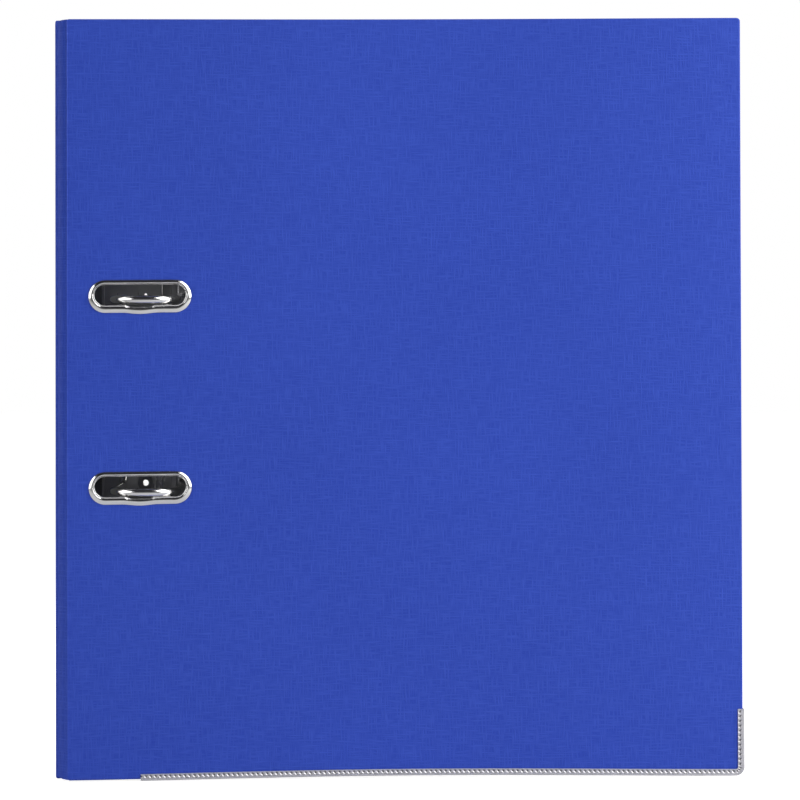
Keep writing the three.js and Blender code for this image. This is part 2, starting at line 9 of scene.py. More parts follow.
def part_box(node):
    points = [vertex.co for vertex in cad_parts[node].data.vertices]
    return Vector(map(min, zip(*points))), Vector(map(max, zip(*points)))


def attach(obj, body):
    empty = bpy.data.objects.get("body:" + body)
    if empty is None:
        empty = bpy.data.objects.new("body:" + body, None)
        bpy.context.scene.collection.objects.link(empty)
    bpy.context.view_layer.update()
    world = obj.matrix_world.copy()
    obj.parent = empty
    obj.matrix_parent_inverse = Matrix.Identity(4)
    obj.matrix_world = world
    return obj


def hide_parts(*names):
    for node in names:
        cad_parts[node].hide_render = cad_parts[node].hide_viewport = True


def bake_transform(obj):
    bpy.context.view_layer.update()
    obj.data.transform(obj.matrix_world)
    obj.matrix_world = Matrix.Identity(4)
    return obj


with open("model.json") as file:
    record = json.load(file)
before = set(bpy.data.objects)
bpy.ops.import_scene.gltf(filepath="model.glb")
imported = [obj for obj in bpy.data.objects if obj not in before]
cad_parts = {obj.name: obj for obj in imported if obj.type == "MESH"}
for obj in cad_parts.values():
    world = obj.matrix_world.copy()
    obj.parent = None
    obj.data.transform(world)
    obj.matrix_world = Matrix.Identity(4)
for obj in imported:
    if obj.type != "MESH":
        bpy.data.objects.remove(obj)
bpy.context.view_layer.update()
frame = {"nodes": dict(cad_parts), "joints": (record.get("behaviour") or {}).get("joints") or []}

# A lever arch file, standing closed. Lengths are in millimetres and angles in radians until a
# piece is placed. The lights, the camera and the frame are in metres.

MM = 0.001

# The boards and their linings. Corners are radii in the sheet, rounds are radii of its rims.
BOARD = 2.4
BOARD_ROUND = 0.7
COVER_CORNERS = (1.6, 3, 1.5, 1.5)  # from the lower left, anticlockwise
SPINE_CORNER = 2
SPINE_SHORT = 1.5  # the spine's board ends this much lower than its CAD panel
LINING = 0.3
LINING_ROUND = 0.12
LINING_CORNER = 1
LINING_MARGIN = 4
SPINE_LINING_MARGIN = 2
AIR = 0.1
FINGER_Z = 70
FINGER_CUT = 14
FINGER_LINING_CUT = 16.2
RIVET_HOLE = 2.3

# The front cover sinks in, sags, and is a little out of square.
DROOP = math.radians(4)
BOW = 4  # it sags inwards this much, halfway to its free edge
BOW_STEP = 8  # it is cut into strips this wide, so that it can bend
HINGE_TOP_DROP = 2.2  # its top corner at the hinge is this much lower
FREE_FOOT_RISE = 0.4  # its bottom corner at the free edge is this much higher
FREE_TOP_REACH = 0.6  # its free edge stands out this much at the top
FREE_FOOT_REACH = 2.2  # and this much at the foot
FOOT_ARCH = 0.95  # its bottom edge rises this much halfway along

# The foil that bridges two boards at a hinge.
FOLD_SHEET = 0.35
FOLD_UNDER = 0.15  # its edges lie this far under the boards' skins
FOLD_DIP = 0.5  # it sinks in this much halfway from board to board
FOLD_END = 0.35  # it ends this far inside the cover's foot and top
FOLD_TOP_DROP = 2.0  # and its top is lower by this much more
FOLD_FOOT_LIFT = 2.0  # its foot rises this much towards the spine
FOLD_STEPS = 16

# The slots, in the front cover's own frame.
SLOT_X = 34.0
SLOT_LIFT = 2.25  # they are this much higher than the arches' ring spacing puts them
SLOT_OPENING = (37.6, 8.4)
SLOT_CUT = (40.2, 11)
SLOT_LINING_CUT = (45, 16)
FLANGE_DROP = 0.6  # the flange's rim sits this much lower than its opening
POCKET_HALF = 6  # the lower lip is pressed down under the arch, this far to each side

RAIL_FACE = 2.8
RAIL_SHEET = 0.5
RAIL_BEND = 3.6
RAIL_STEP = 1 / 3  # stations along a rail
FACE_STEP = 0.15  # points across its faces
DIMPLE_PITCH = 2.0
DIMPLE_SLANT = 0.45
DIMPLE_RADIUS = 0.78
DIMPLE_HALF_HEIGHT = 0.82
DIMPLE_ROW = 1.82
DIMPLE_DEPTH = 0.42

CARD = 0.25
FILM = 0.22
WELD = 0.3
OVER_CARD = 0.28  # the film steps up this much over the card
SWELLING = 0.15  # and stands off this much more in the middle

# The mechanism, in its own frame.
PLATE_LEFT = 14
WIRE = 1.75
ARCH_DROP = 0.8  # arches and posts sit this much lower than in the CAD
CROWN_FLATNESS = 0.8  # 1 would make the arches' tops round
SHAFT_X = 23.5
SHAFT_RISE = 5
POST_X = 49.5
POST_TOP = 56
RING_HALF = 40
CRANK_REACH = 14
CRANK_HALF = 12
LEVER_X = (31, 41)
PIN_HEAD = 0.9  # a pin's heads stand out this much round it
PIVOT_Z = -24
PIVOT_RISE = 11
ROLLER_Z = 2
ROLLER_RISE = 12.2
COIL = 2.9
COIL_WIRE = 0.5
COIL_TURNS = 4.5
COIL_PITCH = 1.15
COIL_BOTTOM = 22
COIL_ARM = 6
GRIP_WIRE = 0.6
CAD_BEVEL = 0.15

FOIL_DARK = (0.0168, 0.0495, 0.376, 1)
FOIL_LIGHT = (0.0188, 0.0535, 0.396, 1)
# A paler blue for the foil's raised threads: painted sheen where light catches the embossing.
FOIL_THREAD_SHEEN = (0.15, 0.26, 0.98, 1)
LINING_DARK = (0.292, 0.297, 0.307, 1)
LINING_LIGHT = (0.32, 0.325, 0.335, 1)
NICKEL = (0.77, 0.765, 0.76, 1)
SPRING_GREY = (0.5, 0.5, 0.52, 1)
RAIL_DARK = (0.5, 0.49, 0.52, 1)
RAIL_LIGHT = (0.64, 0.63, 0.66, 1)
# Painted shade for the bottoms of the rail's dimples.
RAIL_PIT_SHADE = (0.045, 0.045, 0.055, 1)
CARD_DARK = (0.84, 0.84, 0.82, 1)
CARD_LIGHT = (0.9, 0.9, 0.89, 1)
CARD_RULE = (0.42, 0.46, 0.55, 1)
RULES = 6.0  # ruled lines in each 100 mm of card
WHITE = (1, 1, 1, 1)
FLOOR_NEAR = (0.72, 0.72, 0.72, 1)
FLOOR_FAR = (0.08, 0.08, 0.08, 1)
GLOOM_LOW = (0.14, 0.14, 0.15, 1)
GLOOM_HIGH = (0.03, 0.03, 0.035, 1)


# ---------------------------------------------------------------- places

joints = {joint["name"]: joint for joint in frame["joints"]}


def hinge_place(name, turn=0.0):
    """A cover's own frame: x from its hinge line, z up, y = 0 in the middle of its board."""
    x, y, _ = joints[name]["pos_m"]
    return Matrix.Translation((x, y, 0)) @ Matrix.Rotation(turn, 4, "Z")


back_low, back_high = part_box("back_cover_panel")
spine_low, spine_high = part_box("spine_panel")
plate_low, plate_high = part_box("base_plate")
hinge_x = joints["spine_hinge"]["pos_m"][0]

COVER_LEFT = (back_low.x - hinge_x) / MM
COVER_RIGHT = (back_high.x - hinge_x) / MM
COVER_LOW = back_low.z / MM
COVER_HIGH = back_high.z / MM
SPINE_HALF = spine_high.y / MM
SPINE_LOW = spine_low.z / MM
SPINE_HIGH = spine_high.z / MM
MECHANISM_Z = (plate_low.z + plate_high.z) / 2 / MM

back_place = hinge_place("spine_hinge")
front_place = hinge_place("front_hinge", DROOP)
# The spine's frame: x from back to front, y = 0 on its inner face and -BOARD on its outer.
spine_place = Matrix.Translation((spine_high.x, 0, 0)) @ Matrix.Rotation(-math.pi / 2, 4, "Z")
# The mechanism's frame: x from the spine's outer face, rise from the back lining along -Y.
mechanism_place = Matrix.Translation(
    (plate_low.x - PLATE_LEFT * MM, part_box("back_cover_lining")[0].y, MECHANISM_Z * MM)
)
slot_heights = [MECHANISM_Z + ring + SLOT_LIFT for ring in (RING_HALF, -RING_HALF)]


def along_rise(x, z):
    """The mechanism's place whose +Z is the rise, for posts and rivets."""
    return Matrix.Translation((x, 0, z)) @ Matrix.Rotation(math.pi / 2, 4, "X")


def along_x(rise, z):
    """The mechanism's place whose +Z is +X, for the lever's pins and roller."""
    return Matrix.Translation((0, -rise, z)) @ Matrix.Rotation(math.pi / 2, 4, "Y")


# ---------------------------------------------------------------- shader nodes


def node(tree, kind, inputs=None, **settings):
    """Adds a node. An input is a number, a colour, or another node's output socket."""
    made = tree.nodes.new(kind)
    for key, value in settings.items():
        setattr(made, key, value)
    for key, value in (inputs or {}).items():
        if isinstance(value, bpy.types.NodeSocket):
            tree.links.new(value, made.inputs[key])
        else:
            made.inputs[key].default_value = value
    return made


def principled(name, **sockets):
    """A material, its tree and its shader. A socket's spaces are written as underscores."""
    made = bpy.data.materials.new(name)
    made.use_nodes = True
    shader = made.node_tree.nodes["Principled BSDF"]
    for key, value in sockets.items():
        shader.inputs[key.replace("_", " ")].default_value = value
    return made, made.node_tree, shader


def noise(tree, vector, scale, detail=2.0, stretch=(1, 1, 1)):
    """Noise over a vector, drawn out along an axis whose stretch is below 1."""
    mapped = node(tree, "ShaderNodeMapping", {"Vector": vector, "Scale": stretch})
    inputs = {"Vector": mapped.outputs[0], "Scale": scale, "Detail": detail}
    return node(tree, "ShaderNodeTexNoise", inputs).outputs["Fac"]


def spread(tree, value, low, high, start=0.0, end=1.0):
    """Spreads start to end over low to high."""
    ranged = {"Value": value, "From Min": start, "From Max": end, "To Min": low, "To Max": high}
    return node(tree, "ShaderNodeMapRange", ranged).outputs[0]


def arithmetic(tree, operation, first, second, third=0.0):
    inputs = {0: first, 1: second, 2: third}
    return node(tree, "ShaderNodeMath", inputs, operation=operation).outputs[0]


def distance(tree, vector):
    return node(tree, "ShaderNodeVectorMath", {0: vector}, operation="LENGTH").outputs["Value"]


def mixed(tree, factor, first, second):
    """A mix of two colours. Sockets 6 and 7 are the node's two colours."""
    inputs = {"Factor": factor, 6: first, 7: second}
    return node(tree, "ShaderNodeMix", inputs, data_type="RGBA").outputs[2]


def bump(tree, shader, height, strength, depth):
    inputs = {"Height": height, "Strength": strength, "Distance": depth}
    made = node(tree, "ShaderNodeBump", inputs)
    tree.links.new(made.outputs[0], shader.inputs["Normal"])


def surface(tree):
    """The piece's own surface map, a unit for each 100 mm."""
    return node(tree, "ShaderNodeUVMap", uv_map="metric").outputs[0]


def position(tree):
    """The place in the object, in metres."""
    return node(tree, "ShaderNodeTexCoord").outputs["Object"]


# ---------------------------------------------------------------- materials


def cover_foil():
    """Blue foil embossed with a linen weave: threads across, threads up, and a fine grain. The
    raised threads are painted paler, a painted sheen on the embossing.
    """
    made, tree, shader = principled("cover_foil", Roughness=0.5, Specular_IOR_Level=0.26)
    place = surface(tree)
    thread = 0.1
    across = noise(tree, place, 140, 1.5, (thread, 1, 1))
    upright = noise(tree, place, 140, 1.5, (1, thread, 1))
    weave = arithmetic(tree, "MAXIMUM", across, upright)
    grain = noise(tree, place, 420, 2.0)
    patches = noise(tree, place, 1.2, 3.0)
    deep = mixed(tree, spread(tree, patches, 0, 1, 0.35, 0.65), FOIL_DARK, FOIL_LIGHT)
    # The threads are mixed towards the paler blue: painted sheen on the weave.
    colour = mixed(tree, spread(tree, weave, 0, 0.105, 0.42, 0.72), deep, FOIL_THREAD_SHEEN)
    tree.links.new(colour, shader.inputs["Base Color"])
    tree.links.new(spread(tree, weave, 0.6, 0.42, 0.4, 0.75), shader.inputs["Roughness"])
    bump(tree, shader, arithmetic(tree, "MULTIPLY_ADD", grain, 0.25, weave), 0.5, 0.0002)
    return made


def lining_paper():
    """Grey paper, faintly clouded, with short fibres."""
    made, tree, shader = principled("lining_paper", Roughness=0.9, Specular_IOR_Level=0.2)
    place = surface(tree)
    fibres = noise(tree, place, 160, 4.0, (1, 0.35, 1))
    clouds = noise(tree, place, 2.5, 3.0)
    paper = mixed(tree, spread(tree, clouds, 0, 1, 0.3, 0.7), LINING_DARK, LINING_LIGHT)
    colour = node(tree, "ShaderNodeVectorMath", {0: paper}, operation="SCALE")
    tree.links.new(spread(tree, fibres, 0.9, 1.03, 0.35, 0.6), colour.inputs["Scale"])
    tree.links.new(colour.outputs[0], shader.inputs["Base Color"])
    bump(tree, shader, fibres, 0.15, 0.0001)
    return made


def metal(name, colour, roughness, grain, wear, metallic=1.0):
    """Plated or bare steel, with streaks in its gloss and faint dull patches."""
    made, tree, shader = principled(name, Metallic=metallic)
    place = position(tree)
    streaks = noise(tree, place, 900, 2.0, (1, 1, 0.06))
    patches = noise(tree, place, 60, 3.0)
    dull = tuple(channel * (1 - wear) for channel in colour[:3]) + (1,)
    tint = mixed(tree, spread(tree, patches, 0, 1, 0.4, 0.75), colour, dull)
    tree.links.new(tint, shader.inputs["Base Color"])
    worn = spread(tree, patches, roughness, roughness * 1.6)
    gloss = arithmetic(tree, "MULTIPLY_ADD", streaks, grain, worn)
    tree.links.new(gloss, shader.inputs["Roughness"])
    bump(tree, shader, streaks, 0.04, 0.00005)
    return made


def rail_steel():
    """The rail's plated steel has painted shade, near black, in the bottoms of its dimples."""
    made, tree, shader = principled("rail_steel", Metallic=0.85)
    pit = node(tree, "ShaderNodeAttribute", attribute_name="pit").outputs["Fac"]
    patches = noise(tree, position(tree), 220, 3.0)
    bright = mixed(tree, patches, RAIL_DARK, RAIL_LIGHT)
    # Deeper in a dimple the steel turns near black: painted shade.
    colour = mixed(tree, spread(tree, pit, 0, 0.85, 0.25, 0.9), bright, RAIL_PIT_SHADE)
    tree.links.new(colour, shader.inputs["Base Color"])
    tree.links.new(spread(tree, patches, 0.26, 0.42), shader.inputs["Roughness"])
    bump(tree, shader, patches, 0.05, 0.00005)
    return made


def roller_plastic():
    made, tree, shader = principled("roller_plastic", Base_Color=(0.02, 0.02, 0.022, 1))
    mottle = noise(tree, position(tree), 1500, 2.0)
    tree.links.new(spread(tree, mottle, 0.35, 0.55), shader.inputs["Roughness"])
    bump(tree, shader, mottle, 0.1, 0.00005)
    return made


def label_film():
    """Clear film with a slight ripple."""
    made, tree, shader = principled(
        "label_film", Base_Color=(0.9, 0.93, 0.96, 1), Alpha=0.22, IOR=1.5, Coat_Weight=0.6
    )
    ripple = noise(tree, surface(tree), 5, 2.0, (1, 0.4, 1))
    tree.links.new(spread(tree, ripple, 0.06, 0.16), shader.inputs["Roughness"])
    bump(tree, shader, ripple, 0.25, 0.0006)
    return made


def label_card():
    """A blank white card with ruled lines for a title."""
    made, tree, shader = principled("label_card", Roughness=0.85, Specular_IOR_Level=0.2)
    place = surface(tree)
    height = node(tree, "ShaderNodeSeparateXYZ", {0: place}).outputs[1]
    between_rules = arithmetic(tree, "FRACT", arithmetic(tree, "MULTIPLY", height, RULES), 0.0)
    rule = arithmetic(tree, "LESS_THAN", between_rules, 0.03)
    fibre = noise(tree, place, 200, 3.0)
    paper = mixed(tree, fibre, CARD_DARK, CARD_LIGHT)
    tree.links.new(mixed(tree, rule, paper, CARD_RULE), shader.inputs["Base Color"])
    bump(tree, shader, fibre, 0.1, 0.0001)
    return made


finishes = {
    "cover_foil": cover_foil(),
    "lining_paper": lining_paper(),
    "rail_steel": rail_steel(),
    "nickel": metal("nickel", NICKEL, 0.1, 0.03, 0.12),
    "nickel_sheet": metal("nickel_sheet", NICKEL, 0.2, 0.06, 0.15, 0.95),
    "satin_nickel": metal("satin_nickel", NICKEL, 0.3, 0.08, 0.15, 0.35),
    "spring_steel": metal("spring_steel", SPRING_GREY, 0.25, 0.08, 0.2),
    "roller_plastic": roller_plastic(),
    "label_film": label_film(),
    "label_card": label_card(),
}


# ---------------------------------------------------------------- outlines in x and z


def rectangle(left, right, low, high, radius, steps=8):
    """A rounded rectangle, anticlockwise. radius is one number or four, from the lower left."""
    radii = radius if isinstance(radius, tuple) else (radius,) * 4
    corners = [(left, low, 1, 1), (right, low, -1, 1), (right, high, -1, -1), (left, high, 1, -1)]
    points = []
    for index, (x, z, into_x, into_z) in enumerate(corners):
        r = radii[index]
        for step in range(steps + 1):
            angle = math.pi + math.pi / 2 * (index + step / steps)
            points.append((x + r * (into_x + math.cos(angle)), z + r * (into_z + math.sin(angle))))
    return points


def stadium(x, z, length, width, arc=24, straight=48):
    """A slot's outline, anticlockwise, always with the same stations: lower side first."""
    radius = width / 2
    half = length / 2 - radius
    points = [(x - half + 2 * half * k / straight, z - radius) for k in range(straight)]
    for k in range(arc):
        angle = math.pi * (k / arc - 0.5)
        points.append((x + half + radius * math.cos(angle), z + radius * math.sin(angle)))
    points += [(x + half - 2 * half * k / straight, z + radius) for k in range(straight)]
    for k in range(arc):
        angle = math.pi * (k / arc + 0.5)
        points.append((x - half + radius * math.cos(angle), z + radius * math.sin(angle)))
    return points


def circle(x, z, radius, steps=48):
    angles = [2 * math.pi * step / steps for step in range(steps)]
    return [(x + radius * math.cos(a), z + radius * math.sin(a)) for a in angles]


def inset(loop, depth):
    """Moves a loop to its left: inwards if it runs anticlockwise."""
    moved = []
    for index, (x, z) in enumerate(loop):
        before = Vector(loop[index - 1])
        here = Vector((x, z))
        after = Vector(loop[(index + 1) % len(loop)])
        arriving = (here - before).normalized()
        leaving = (after - here).normalized()
        normal = Vector((-arriving.y - leaving.y, arriving.x + leaving.x))
        normal /= max(normal.length_squared / 2, 1e-6)
        moved.append(tuple(here + normal * depth))
    return moved


# ---------------------------------------------------------------- shapes


def skin(bm, rows, around=False):
    """Faces between rows of vertices, each row a closed loop."""
    pairs = list(zip(rows, rows[1:])) + ([(rows[-1], rows[0])] if around else [])
    for here, there in pairs:
        for k in range(len(here)):
            bm.faces.new((here[k - 1], here[k], there[k], there[k - 1]))


def board(bm, outer, holes, thickness, rounding, steps=5):
    """A sheet about y = 0 with rounded rims, also round its holes."""
    rim = []
    for step in range(steps + 1):
        angle = math.pi / 2 * step / steps
        y = rounding * (1 - math.cos(angle)) - thickness / 2
        rim.append((rounding * (1 - math.sin(angle)), y))
    rim += [(depth, -y) for depth, y in reversed(rim)]
    lids = ([], [])
    for loop in [outer] + [hole[::-1] for hole in holes]:
        rows = [[bm.verts.new((x, y, z)) for x, z in inset(loop, depth)] for depth, y in rim]
        skin(bm, rows)
        for lid, row in zip(lids, (rows[0], rows[-1])):
            lid += [bm.edges.get((row[k - 1], row[k])) for k in range(len(row))]
    for lid in lids:
        bmesh.ops.triangle_fill(bm, use_beauty=True, edges=lid)


def loft(bm, rings, around=False):
    """A skin over rings of points, closed by its ends' lids or all the way around."""
    rows = [[bm.verts.new(point) for point in ring] for ring in rings]
    skin(bm, rows, around)
    if not around:
        bm.faces.new(rows[0])
        bm.faces.new(rows[-1])


def turned(bm, profile, place, segments=40):
    """Turns a profile of radius and height about place's +Z."""
    rows = []
    for step in range(segments):
        turn = place @ Matrix.Rotation(2 * math.pi * step / segments, 4, "Z")
        rows.append([bm.verts.new(turn @ Vector((radius, 0, rise))) for radius, rise in profile])
    for here, there in zip(rows, rows[1:] + rows[:1]):
        for k in range(len(profile) - 1):
            if profile[k][0] or profile[k + 1][0]:
                bm.faces.new((here[k], there[k], there[k + 1], here[k + 1]))


def tube(bm, points, radius, sides=24):
    """A round wire along points, its ends slightly chamfered."""
    last = len(points) - 1
    tangents = []
    for index, point in enumerate(points):
        before = point - points[max(index - 1, 0)]
        after = points[min(index + 1, last)] - point
        tangents.append((before.normalized() + after.normalized()).normalized())
    side = tangents[0].orthogonal().normalized()
    rings = []
    chamfer = radius * 0.2
    for index, point in enumerate(points):
        side = (side - tangents[index] * side.dot(tangents[index])).normalized()
        other = tangents[index].cross(side)
        sizes = [(radius, 0)]
        if index == 0:
            sizes = [(radius - chamfer, 0), (radius, chamfer)]
        elif index == last:
            sizes = [(radius, -chamfer), (radius - chamfer, 0)]
        for size, shift in sizes:
            centre = point + tangents[index] * shift
            rings.append([
                centre + side * size * math.cos(2 * math.pi * k / sides)
                + other * size * math.sin(2 * math.pi * k / sides)
                for k in range(sides)
            ])
    loft(bm, rings)


def bent(corners, bend, steps=10):
    """The points of a wire through corners, with each inner corner bent round."""
    places = [Vector(corner) for corner in corners]
    points = [places[0]]
    for before, corner, after in zip(places, places[1:], places[2:]):
        start = corner + (before - corner).normalized() * bend
        end = corner + (after - corner).normalized() * bend
        for step in range(steps + 1):
            t = step / steps
            points.append(start * (1 - t) ** 2 + corner * (2 * t * (1 - t)) + end * t**2)
    points.append(places[-1])
    return points


def shift_y(bm, amount):
    bmesh.ops.translate(bm, verts=bm.verts, vec=(0, amount, 0))


def settle(bm):
    """Bows the front cover's pieces inwards and sets them a little out of square."""
    for vertex in bm.verts:
        out = vertex.co.x / COVER_RIGHT
        up = vertex.co.z / COVER_HIGH
        sag = max(0.0, math.sin(math.pi * out)) ** 1.5
        vertex.co.y += BOW * sag
        vertex.co.x += out * (FREE_FOOT_REACH * (1 - up) + FREE_TOP_REACH * up)
        vertex.co.z += (FREE_FOOT_RISE * out + FOOT_ARCH * sag) * (1 - up)
        vertex.co.z -= HINGE_TOP_DROP * (1 - out) * up


def cut_into_strips(bm, axis, low, high, step):
    """Adds cuts across a sheet, so that it can bend."""
    normal = Vector((axis == "x", axis == "y", axis == "z"))
    for index in range(1, math.ceil((high - low) / step)):
        everything = bm.verts[:] + bm.edges[:] + bm.faces[:]
        place = normal * (low + index * step)
        bmesh.ops.bisect_plane(bm, geom=everything, dist=1e-5, plane_co=place, plane_no=normal)


def map_surface(bm):
    """Lays each face flat along its nearest axis, a unit for each 100 mm."""
    layer = bm.loops.layers.uv.new("metric")
    for face in bm.faces:
        steepest = max(range(3), key=lambda axis: abs(face.normal[axis]))
        first, second = [(1, 2), (0, 2), (0, 1)][steepest]
        for corner in face.loops:
            corner[layer].uv = (corner.vert.co[first] / 100, corner.vert.co[second] / 100)


def piece(name, bm, place, body, slot, nodes=(), angle=35):
    """Makes an object of a mesh in its own frame and rides it on a body, if one is named.

    Edges sharper than angle, in degrees, stay sharp.
    """
    bmesh.ops.remove_doubles(bm, verts=bm.verts, dist=1e-4)
    bmesh.ops.recalc_face_normals(bm, faces=bm.faces)
    map_surface(bm)
    bm.transform(place @ Matrix.Scale(MM, 4))
    mesh = bpy.data.meshes.new(name)
    bm.to_mesh(mesh)
    bm.free()
    mesh.shade_smooth()
    mesh.set_sharp_from_angle(angle=math.radians(angle))
    mesh.materials.append(finishes[slot])
    made = bpy.data.objects.new(name, mesh)
    bpy.context.scene.collection.objects.link(made)
    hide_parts(*nodes)
    if body:
        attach(made, body)
    return made


def flat_piece(name, bm, place, body, slot, node_name):
    """A piece whose large flat faces keep their own direction, and only its rims shade round."""
    made = piece(name, bm, place, body, slot, [node_name])
    weighted = made.modifiers.new("even_shading", "WEIGHTED_NORMAL")
    weighted.keep_sharp = True
    weighted.weight = 100


# ---------------------------------------------------------------- boards and linings


def cover_outline():
    return rectangle(COVER_LEFT, COVER_RIGHT, COVER_LOW, COVER_HIGH, COVER_CORNERS)


def lining_outline():
    left = COVER_LEFT + LINING_MARGIN
    right = COVER_RIGHT - LINING_MARGIN
    low = COVER_LOW + LINING_MARGIN
    high = COVER_HIGH - LINING_MARGIN
    return rectangle(left, right, low, high, LINING_CORNER)


def front_cover():
    bm = bmesh.new()
    slots = [stadium(SLOT_X, z, *SLOT_CUT) for z in slot_heights]
    board(bm, cover_outline(), slots, BOARD, BOARD_ROUND)
    cut_into_strips(bm, "x", COVER_LEFT, COVER_RIGHT, BOW_STEP)
    settle(bm)
    flat_piece(
        "front_cover_board", bm, front_place, "front_cover", "cover_foil", "front_cover_panel"
    )
    bm = bmesh.new()
    slots = [stadium(SLOT_X, z, *SLOT_LINING_CUT) for z in slot_heights]
    board(bm, lining_outline(), slots, LINING, LINING_ROUND, 2)
    shift_y(bm, BOARD / 2 + LINING / 2)
    cut_into_strips(bm, "x", COVER_LEFT, COVER_RIGHT, BOW_STEP)
    settle(bm)
    flat_piece(
        "front_lining_sheet", bm, front_place, "front_cover", "lining_paper", "front_cover_lining"
    )


def rivet_places():
    """The rivets' nodes, with their x and z in the mechanism's frame."""
    names = sorted(name for name in frame["nodes"] if name.startswith("mechanism_rivet"))
    origin = mechanism_place.translation
    places = []
    for name in names:
        low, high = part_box(name)
        middle = ((low + high) / 2 - origin) / MM
        places.append((name, middle.x, middle.z))
    return places


def back_cover():
    shift = (mechanism_place.translation.x - back_place.translation.x) / MM
    holes = [circle(x + shift, MECHANISM_Z + z, RIVET_HOLE, 24) for _, x, z in rivet_places()]
    bm = bmesh.new()
    board(bm, cover_outline(), holes, BOARD, BOARD_ROUND)
    flat_piece("back_cover_board", bm, back_place, "back_cover", "cover_foil", "back_cover_panel")
    bm = bmesh.new()
    board(bm, lining_outline(), holes, LINING, LINING_ROUND, 2)
    shift_y(bm, -BOARD / 2 - LINING / 2)
    flat_piece(
        "back_lining_sheet", bm, back_place, "back_cover", "lining_paper", "back_cover_lining"
    )


def spine():
    bm = bmesh.new()
    high = SPINE_HIGH - SPINE_SHORT
    outline = rectangle(-SPINE_HALF, SPINE_HALF, SPINE_LOW, high, SPINE_CORNER)
    board(bm, outline, [circle(0, FINGER_Z, FINGER_CUT)], BOARD, BOARD_ROUND)
    shift_y(bm, -BOARD / 2)
    flat_piece("spine_board", bm, spine_place, "spine", "cover_foil", "spine_panel")
    bm = bmesh.new()
    half = SPINE_HALF - SPINE_LINING_MARGIN
    low = SPINE_LOW + LINING_MARGIN
    high = SPINE_HIGH - LINING_MARGIN
    sheet = rectangle(-half, half, low, high, LINING_CORNER)
    board(bm, sheet, [circle(0, FINGER_Z, FINGER_LINING_CUT)], LINING, LINING_ROUND, 2)
    shift_y(bm, LINING / 2)
    flat_piece("spine_lining_sheet", bm, spine_place, "spine", "lining_paper", "spine_lining")


def hinge_foil(name, place, node_name, at_back):
    """The foil dips between two boards: from inside the spine's rim to inside the cover's."""
    cover_edge = COVER_LEFT + BOARD_ROUND
    skin_y = BOARD / 2 - FOLD_UNDER
    low = COVER_LOW + FOLD_END
    high = COVER_HIGH - FOLD_END - FOLD_TOP_DROP
    across = Vector((1, 1)).normalized()
    rings = []
    for step in range(FOLD_STEPS + 1):
        t = step / FOLD_STEPS
        along = (cover_edge + skin_y) * t
        middle = Vector((-skin_y + along, cover_edge - along))
        outer = middle + across * (FOLD_DIP * math.sin(math.pi * t) ** 2)
        inner = outer + across * FOLD_SHEET
        lift = FOLD_FOOT_LIFT * max(0.0, 1 - t / 0.6) ** 2.2
        rings.append([
            (outer.x, outer.y, low + lift),
            (outer.x, outer.y, high - lift * 0.5),
            (inner.x, inner.y, high - lift * 0.5),
            (inner.x, inner.y, low + lift),
        ])
    bm = bmesh.new()
    loft(bm, rings)
    cut_into_strips(bm, "z", COVER_LOW, COVER_HIGH, 20)
    if at_back:
        bmesh.ops.transform(bm, matrix=Matrix.Scale(-1, 4, (0, 1, 0)), verts=bm.verts)
    made = piece(name, bm, place, None, "cover_foil", [node_name])
    if at_back:
        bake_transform(made)
    else:
        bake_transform(made)


# ---------------------------------------------------------------- rails and eyelets


def rail_path():
    """Stations along a rail: place, direction inwards and distance run."""
    rail_low, rail_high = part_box("back_edge_rail")
    left = rail_low.x / MM - hinge_x / MM
    right = COVER_RIGHT + AIR + RAIL_SHEET
    top = rail_high.z / MM
    straight = right - RAIL_BEND - left
    bend = RAIL_BEND * math.pi / 2
    total = straight + bend + top - RAIL_BEND
    count = round(total / RAIL_STEP)
    for step in range(count + 1):
        run = total * step / count
        if run < straight:
            yield Vector((left + run, 0, 0)), Vector((0, 0, 1)), run
        elif run < straight + bend:
            angle = (run - straight) / RAIL_BEND
            inward = Vector((-math.sin(angle), 0, math.cos(angle)))
            centre = Vector((right - RAIL_BEND, 0, RAIL_BEND))
            yield centre - inward * RAIL_BEND, inward, run
        else:
            yield Vector((right, 0, RAIL_BEND + run - straight - bend)), Vector((-1, 0, 0)), run


def dimple(run, depth):
    """How deep the row of slanted dimples is, from 0 to 1."""
    along = (run + DIMPLE_SLANT * depth) % DIMPLE_PITCH - DIMPLE_PITCH / 2
    share = (along / DIMPLE_RADIUS) ** 2 + ((depth - DIMPLE_ROW) / DIMPLE_HALF_HEIGHT) ** 2
    return max(0.0, 1 - share)


def rail_section(half):
    """The channel's section in depth and y, from one rim round the fold to the other and back."""
    face = [RAIL_FACE - FACE_STEP * k for k in range(15)]
    outer = [(RAIL_FACE, -half + 0.12)] + [(depth - 0.06, -half) for depth in face]
    for angle in (0.2, 0.5, 0.8, 1.1, 1.4):
        depth = RAIL_SHEET - RAIL_SHEET * math.sin(angle)
        outer.append((depth, -(half - RAIL_SHEET + RAIL_SHEET * math.cos(angle))))
    outer += [(depth, -y) for depth, y in reversed(outer)]
    inner = half - RAIL_SHEET
    inside = [
        (RAIL_FACE, inner),
        (RAIL_SHEET, inner),
        (RAIL_SHEET, -inner),
        (RAIL_FACE, -inner),
    ]
    return outer + inside


